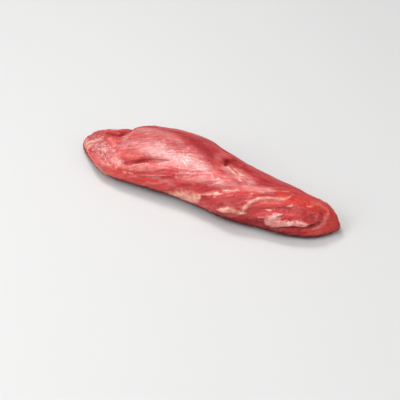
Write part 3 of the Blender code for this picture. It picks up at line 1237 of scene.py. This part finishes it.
@dataclass(frozen=True)
class FleshShine:
    """The wet shine, and how far light goes into the flesh.

    Args:
        roughness: The roughness of the flesh.
        speck: How much rougher and smoother the specks are.
        far: How much rougher the far head is.
        tissues: How much rougher some tissues are.
        coat: The least film of water.
        coat_spread: How much more there is in wet patches.
        coat_roughness: The roughness of the film.
        specular: How strongly the flesh itself shines.
        tint: The colour of that shine.
        subsurface: How much light goes in.
        reach: How far red, green and blue go in, against each other.
        reach_scale: How far red goes in, in millimetres.
    """

    roughness: float = 0.22
    speck: float = 0.20
    far: float = 0.20
    tissues: tuple[tuple[Tissue, float], ...] = (
        (Tissue.FAT, 0.14), (Tissue.DEEP_AND_SHADE, 0.13), (Tissue.CREASE, 0.20), (Tissue.SHADED, 0.40))
    coat: float = 0.02
    coat_spread: float = 0.16
    coat_roughness: float = 0.10
    specular: float = 0.26
    tint: Colour = (1.0, 0.86, 0.85)
    subsurface: float = 0.14
    reach: Colour = (1.0, 0.22, 0.16)
    reach_scale: float = 2.0


@dataclass(frozen=True)
class FleshFinish:
    """Moist raw pork, with its fat, silverskin and wet shine."""

    colours: FleshColours = FleshColours()
    patterns: FleshPatterns = FleshPatterns()
    bands: FleshBands = FleshBands()
    shares: FleshShares = FleshShares()
    mixes: FleshMixes = FleshMixes()
    relief: FleshRelief = FleshRelief()
    shine: FleshShine = FleshShine()

    def material(self) -> bpy.types.Material:
        """Makes the material, ready to be assigned."""
        return FleshShader(self).dress()


class FleshShader:
    """The nodes of the raw pork. Each colour is laid over the ones before it."""

    def __init__(self, finish: FleshFinish) -> None:
        """Starts the material and reads its masks and noises.

        Args:
            finish: What it is built from.
        """
        self.finish = finish
        self.colours = finish.colours
        self.bands = finish.bands
        self.shares = finish.shares
        self.material = bpy.data.materials.new("raw_pork")
        self.graph = Graph(self.material)
        self.place = self.graph.add("ShaderNodeTexCoord", {}, {}, "Object")
        self.grain = self.graph.attribute(GRAIN, "Vector")
        self.far = self.graph.attribute(FAR)
        self.mask = {tissue: self.graph.attribute(tissue.value) for tissue in Tissue}
        patterns = finish.patterns
        self.bundle, self.streak, self.fine, thread, furrow = (
            self._fibres(pattern)
            for pattern in (patterns.bundle, patterns.streak, patterns.fine, patterns.thread,
                            patterns.furrow))
        self.patch, self.mottle, self.speck, vein, self.blotch, self.curd, self.wet = (
            self.graph.noise(self.place, pattern)
            for pattern in (patterns.patch, patterns.mottle, patterns.speck, patterns.vein, patterns.blotch,
                            patterns.curd, patterns.wet))
        self.thread = self._thin_lines(thread, patterns.thread_sharpness)
        self.furrow = self._thin_lines(furrow, patterns.furrow_sharpness)
        self.vein = self._thin_lines(vein, patterns.vein_sharpness)
        self.calm = (1 - self.shares.calm_in_deep * self.mask[Tissue.DEEP_AND_SHADE]) * (
            1 - self.shares.calm_in_bright * self.mask[Tissue.BRIGHT])
        bundles = self.bundle.step(self.bands.bundle)
        self.colour = self.graph.blend(bundles, self.colours.dark, self.colours.red)

    def _fibres(self, pattern: Pattern) -> Value:
        """Reads streaks that follow the fibres of both sides.

        Args:
            pattern: Their noise.

        Returns:
            The streaks.
        """
        near_side = self.graph.noise(self.grain, pattern)
        far_side = self.graph.noise(self.place, pattern)
        return near_side + (far_side - near_side) * self.far

    def _thin_lines(self, pattern: Value, sharpness: float) -> Value:
        """Finds the thin lines where a noise crosses its middle."""
        return 1 - (abs(pattern - NOISE_MIDDLE) * sharpness).step(WHOLE)

    @staticmethod
    def _mix(noises: tuple[Value, ...], weights: tuple[float, ...]) -> Value:
        """Adds noises, each by its weight."""
        parts = [part * weight for part, weight in zip(noises, weights)]
        return sum(parts[1:], start=parts[0])

    def _lay(self, share: Value, over: Socketable) -> None:
        """Lays a colour over all that was laid before.

        Args:
            share: How much of it shows.
            over: The colour.
        """
        self.colour = self.graph.blend(share, self.colour, over)

    def _lay_fibres(self) -> None:
        """Lays the streaks of the fibres and the dark smooth flesh."""
        bands, shares, colours, calm = self.bands, self.shares, self.colours, self.calm
        self._lay(self.streak.step(bands.light) * calm * shares.light, colours.light)
        self._lay((1 - self.streak.step(bands.no_dark)) * calm * shares.dark, colours.dark)
        self._lay(self.furrow * self.patch.step(bands.furrow_patch) * calm * shares.furrow, colours.dark)
        # Dark smooth flesh and painted shade
        deep_and_shade = self.patch.step(bands.deep_patch).at_least(shares.deep_least)
        self._lay(self.mask[Tissue.DEEP_AND_SHADE] * deep_and_shade, colours.deep_and_shade)
        self._lay(self.fine.step(bands.fine) * calm * shares.fine, colours.light)
        veiled = shares.thread + shares.thread_in_veil * self.mask[Tissue.VEIL_AND_SHEEN]
        self._lay(self.thread * self.patch.step(bands.thread_patch) * veiled * calm, colours.thread)

    def _lay_film(self) -> None:
        """Lays the whitish film, with painted sheen on the crest, and the curdled specks where it gathers,
        which are partly painted glints.
        """
        bands, shares, colours, calm = self.bands, self.shares, self.colours, self.calm
        mixes = self.finish.mixes
        film = self._mix((self.mottle, self.speck, self.streak), mixes.film).step(bands.film)
        self._lay(self.mask[Tissue.VEIL_AND_SHEEN] * (shares.veil_and_sheen + shares.veil_film * film) * calm, colours.veil_and_sheen)
        self._lay(self.mask[Tissue.SPECKLE] * calm * shares.speckle_veil, colours.veil_and_sheen)
        curdled = self._mix((self.mottle, self.speck), mixes.curdled).step(bands.curdled)
        self._lay(self._gathered() * curdled * shares.curdled, colours.veil_and_sheen)
        pits = 1 - self._mix((self.mottle, self.speck), mixes.pit).step(bands.no_pit)
        self._lay(pits * self.mask[Tissue.SPECKLE] * calm * shares.pit, colours.vein)

    def _gathered(self) -> Value:
        """Finds the patches in which specks gather."""
        return self.mask[Tissue.SPECKLE] * self.patch.step(self.bands.speckle_patch) * self.calm

    def _lay_marbling(self) -> None:
        """Lays the fatty blotches of the broad end and the thin lines of flesh between them."""
        shares, colours = self.shares, self.colours
        speckle, mottle = self.mask[Tissue.SPECKLE], self.mask[Tissue.MOTTLE]
        self._lay(mottle * shares.mottle_veil, colours.veil_and_sheen)
        self._lay(mottle * self.blotch.step(self.bands.blotch) * shares.blotch, colours.mottle)
        laced = mottle * shares.vein_in_mottle + speckle * self.calm * shares.vein_in_speckle
        self._lay(self.vein * laced, colours.vein)
        parted = self.mask[Tissue.VEIL_AND_SHEEN] * shares.furrow_in_veil + speckle * shares.furrow_in_speckle
        self._lay(self.furrow * parted, colours.red)

    def _lay_washes(self) -> None:
        """Lays the fresh red flesh and the pale crests of folds."""
        bright = self.mottle.step(self.bands.bright).at_least(self.shares.bright_least)
        self._lay(self.mask[Tissue.BRIGHT] * bright, self.colours.bright)
        pale = self.streak.step(self.bands.streak).at_least(self.shares.pale_least)
        self._lay(self.mask[Tissue.PALE] * pale, self.colours.pale)

    def _lay_silver_and_fat(self) -> None:
        """Lays the silverskin and the fat."""
        bands, shares, colours = self.bands, self.shares, self.colours
        thick = self.blotch.step(bands.silver) * shares.silver_pale
        silver = self.graph.blend(thick, colours.silver, colours.silver_pale)
        silver = self.graph.blend(self.furrow * shares.silver_furrow, silver, colours.red)
        cover = self.streak.step(bands.streak).at_least(shares.silver_least)
        self._lay(self.mask[Tissue.SILVER] * cover, silver)
        curds = self._mix((self.curd, self.speck), self.finish.mixes.fat).step(bands.fat)
        fat = self.graph.blend(curds, colours.fat_pink, colours.fat)
        self._lay(self.mask[Tissue.FAT] * shares.fat, fat)

    def _lay_marks(self) -> None:
        """Lays the white flecks and painted glints, the dark lines and painted shade of the creases, and the
        painted shade of the shaded strip at the foot.
        """
        shares, colours = self.shares, self.colours
        # Painted glints where the specks gather, and the white flecks
        sparkle = self.speck.step(self.bands.sparkle) * self._gathered() * shares.glint
        self._lay(sparkle + self.mask[Tissue.GLINT] * shares.glint, colours.glint)
        # Painted shade in creases and pockets and under the near side
        self._lay(self.mask[Tissue.CREASE] * shares.crease_shade, colours.crease_shade)
        lean = 1 - shares.unshaded_fat * self.mask[Tissue.FAT]
        self._lay(self.mask[Tissue.SHADED] * lean * shares.shaded, colours.shaded)

    def _roughness(self) -> Value:
        """Works out how rough each place is.

        Returns:
            The roughness.
        """
        shine = self.finish.shine
        roughness = shine.roughness + shine.speck * (self.speck - NOISE_MIDDLE) + shine.far * self.far
        for tissue, rougher in shine.tissues:
            roughness = roughness + rougher * self.mask[tissue]
        return roughness

    def _coat(self) -> Value:
        """Works out how much water lies on each place.

        Returns:
            The weight of the coat.
        """
        shine = self.finish.shine
        wet = shine.coat + shine.coat_spread * self.wet.step(self.bands.wet)
        return wet * self.calm * (1 - self.far) * (1 - self.mask[Tissue.SHADED])

    def _normal(self) -> Value:
        """Works out the fine relief.

        Returns:
            The normals of that relief.
        """
        relief = self.finish.relief
        speckle, mottle = self.mask[Tissue.SPECKLE], self.mask[Tissue.MOTTLE]
        fibres = relief.streak * self.streak + relief.furrow * self.furrow + relief.fine * self.fine
        specks = self.speck * (relief.speck * self.calm + speckle)
        height = fibres * self.calm + specks + relief.mottle * self.mottle * speckle
        height = height + (relief.blotch * self.blotch + relief.vein * self.vein) * mottle
        inputs = {"Strength": relief.strength, "Distance": relief.height * MM, "Height": height}
        return self.graph.add("ShaderNodeBump", {}, inputs, "Normal")

    def dress(self) -> bpy.types.Material:
        """Lays every colour and fills the shader.

        Returns:
            The finished material.
        """
        self._lay_fibres()
        self._lay_film()
        self._lay_marbling()
        self._lay_washes()
        self._lay_silver_and_fat()
        self._lay_marks()
        shine = self.finish.shine
        self.graph.put(self.graph.tree.nodes["Principled BSDF"], {
            "Base Color": self.colour,
            "Roughness": self._roughness(),
            "Specular IOR Level": shine.specular,
            "Specular Tint": self.graph.opaque(shine.tint),
            "Coat Weight": self._coat(),
            "Coat Roughness": shine.coat_roughness,
            "Subsurface Weight": shine.subsurface,
            "Subsurface Radius": shine.reach,
            "Subsurface Scale": shine.reach_scale * MM,
            "Normal": self._normal(),
        })
        return self.material


@dataclass
class Tenderloin:
    """The whole piece of meat.

    Args:
        body: The CAD body that it rides on.
        slot: The name of the record's material slot, which is not used.
        skin: Its surface.
        finish: What its surface looks like.
    """

    body: str = "root"
    slot: str = "flesh"
    skin: Skin = field(default_factory=Skin)
    finish: FleshFinish = FleshFinish()

    def build(self) -> list[bpy.types.Object]:
        """Builds, dresses and places the meat.

        Returns:
            Its pieces.
        """
        flesh = self.skin.build()
        flesh.data.materials.append(self.finish.material())
        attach(flesh, self.body)
        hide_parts(self.skin.node)
        return [flesh]


@dataclass(frozen=True)
class SoftLight:
    """A square lamp that is turned towards the object.

    Args:
        name: What it is called.
        place: Where it hangs, in metres.
        size: Its side, in metres.
        power: Its strength, in watts.
        tint: Its colour.
    """

    name: str
    place: tuple[float, float, float]
    size: float
    power: float
    tint: Colour = WHITE

    def hang(self) -> None:
        """Adds the lamp."""
        bpy.ops.object.light_add(type="AREA", location=self.place)
        lamp = bpy.context.object
        lamp.name = self.name
        lamp.data.size = self.size
        lamp.data.energy = self.power
        lamp.data.color = self.tint
        lamp.rotation_euler = Vector(self.place).to_track_quat("Z", "Y").to_euler()


@dataclass(frozen=True)
class Studio:
    """The pale floor, the soft light and the camera.

    Args:
        azimuth: The camera's turn round the object, in degrees.
        elevation: The camera's height above the horizon, in degrees.
        distance: From the camera to its aim, in metres.
        aim: The point on the floor that is in the middle of the picture, in metres.
        lens: The camera's focal length, in millimetres.
        sensor: The width of the camera's sensor, in millimetres.
        floor_side: The side of the floor, in metres.
        floor_colour: The floor's colour.
        floor_roughness: The floor's roughness.
        sky: The strength of the light from above.
        horizon: The strength of the light from the horizon.
        sky_band: The upward part of a direction over which the one becomes the other.
        lamps: The lamps.
    """

    azimuth: float = 28.35
    elevation: float = 36.05
    distance: float = 1.8815
    aim: tuple[float, float, float] = (0.0006, -0.0158, 0.0)
    lens: float = 180.0
    sensor: float = 36.0
    floor_side: float = 12.0
    floor_colour: Colour = (0.66, 0.658, 0.655)
    floor_roughness: float = 0.7
    sky: float = 0.34
    horizon: float = 0.24
    sky_band: Band = Band(0.2, 0.95)
    lamps: tuple[SoftLight, ...] = (
        SoftLight("window", (-0.50, 0.20, 1.15), 0.36, 6.8),
        SoftLight("ceiling", (0.0, -1.0, 2.2), 2.2, 25.0),
        SoftLight("end_fill", (1.15, -0.35, 0.80), 0.8, 3.4),
        SoftLight("front_fill", (-0.62, -1.20, 0.95), 1.0, 11.0),
    )

    def build(self) -> None:
        """Sets up everything that isn't the object."""
        self._lay_floor()
        for lamp in self.lamps:
            lamp.hang()
        self._light_sky()
        self._place_camera()

    def _lay_floor(self) -> None:
        """Lays the floor."""
        bpy.ops.mesh.primitive_plane_add(size=self.floor_side)
        floor = bpy.context.object
        floor.name = "floor"
        material = bpy.data.materials.new("pale_floor")
        graph = Graph(material)
        graph.put(graph.tree.nodes["Principled BSDF"], {
            "Base Color": graph.opaque(self.floor_colour),
            "Roughness": self.floor_roughness,
        })
        floor.data.materials.append(material)

    def _light_sky(self) -> None:
        """Lights the sky, which is brighter above than at the horizon."""
        world = bpy.data.worlds.new("studio")
        graph = Graph(world)
        direction = graph.add("ShaderNodeTexCoord", {}, {}, "Generated")
        upward = graph.add("ShaderNodeSeparateXYZ", {}, {0: direction}, "Z")
        graph.put(graph.tree.nodes["Background"], {
            "Color": graph.opaque(WHITE),
            "Strength": upward.step(self.sky_band, self.horizon, self.sky),
        })
        bpy.context.scene.world = world
        bpy.context.scene.view_settings.view_transform = "Standard"

    def _place_camera(self) -> None:
        """Places the camera where the photograph was taken from."""
        turn = math.radians(self.azimuth)
        rise = math.radians(self.elevation)
        back = Vector((math.sin(turn) * math.cos(rise), -math.cos(turn) * math.cos(rise), math.sin(rise)))
        bpy.ops.object.camera_add(location=Vector(self.aim) + back * self.distance)
        camera = bpy.context.object
        camera.rotation_euler = back.to_track_quat("Z", "Y").to_euler()
        camera.data.lens = self.lens
        camera.data.sensor_width = self.sensor
        bpy.context.scene.camera = camera


def main() -> None:
    """Builds the studio and the meat, and reports each piece."""
    logging.basicConfig(level=logging.INFO, format="%(name)s: %(message)s")
    Studio().build()
    for piece in Tenderloin().build():
        LOG.info("%s has %d faces", piece.name, len(piece.data.polygons))


if __name__ == "__main__":
    main()
